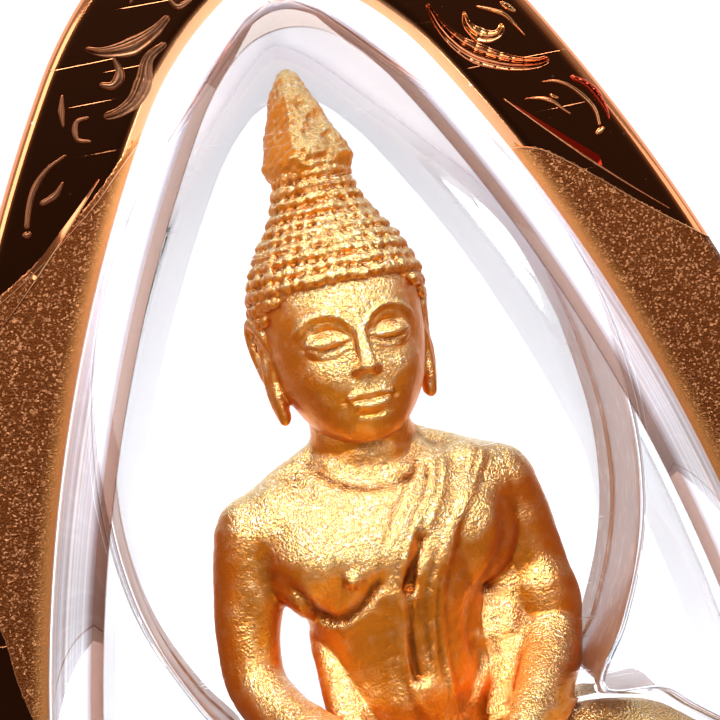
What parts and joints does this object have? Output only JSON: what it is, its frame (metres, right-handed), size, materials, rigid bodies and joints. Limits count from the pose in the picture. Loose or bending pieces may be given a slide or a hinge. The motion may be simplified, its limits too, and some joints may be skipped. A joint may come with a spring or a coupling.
{
  "type": "cased statuette amulet pendant",
  "caption": "Pointed-arch metal pendant frame with a bail, gripping a clear case that holds a small cast seated figure.",
  "frame": {"origin": "middle of the outline, on the flat back that the pendant lies on", "axes": "+Z out of the front, +Y from the foot to the bail, +X to the viewer's right"},
  "size_m": [0.0378, 0.0564, 0.015],
  "materials": {
    "frame_metal": "polished and sandblasted rose gold plating",
    "clear_acrylic": "clear polished acrylic",
    "figure_gold": "fine sandblasted gold plating"
  },
  "bodies": {
    "root": {"frame": "frame_metal", "front_shell": "clear_acrylic", "back_shell": "clear_acrylic", "figure": "figure_gold"}
  },
  "joints": []
}
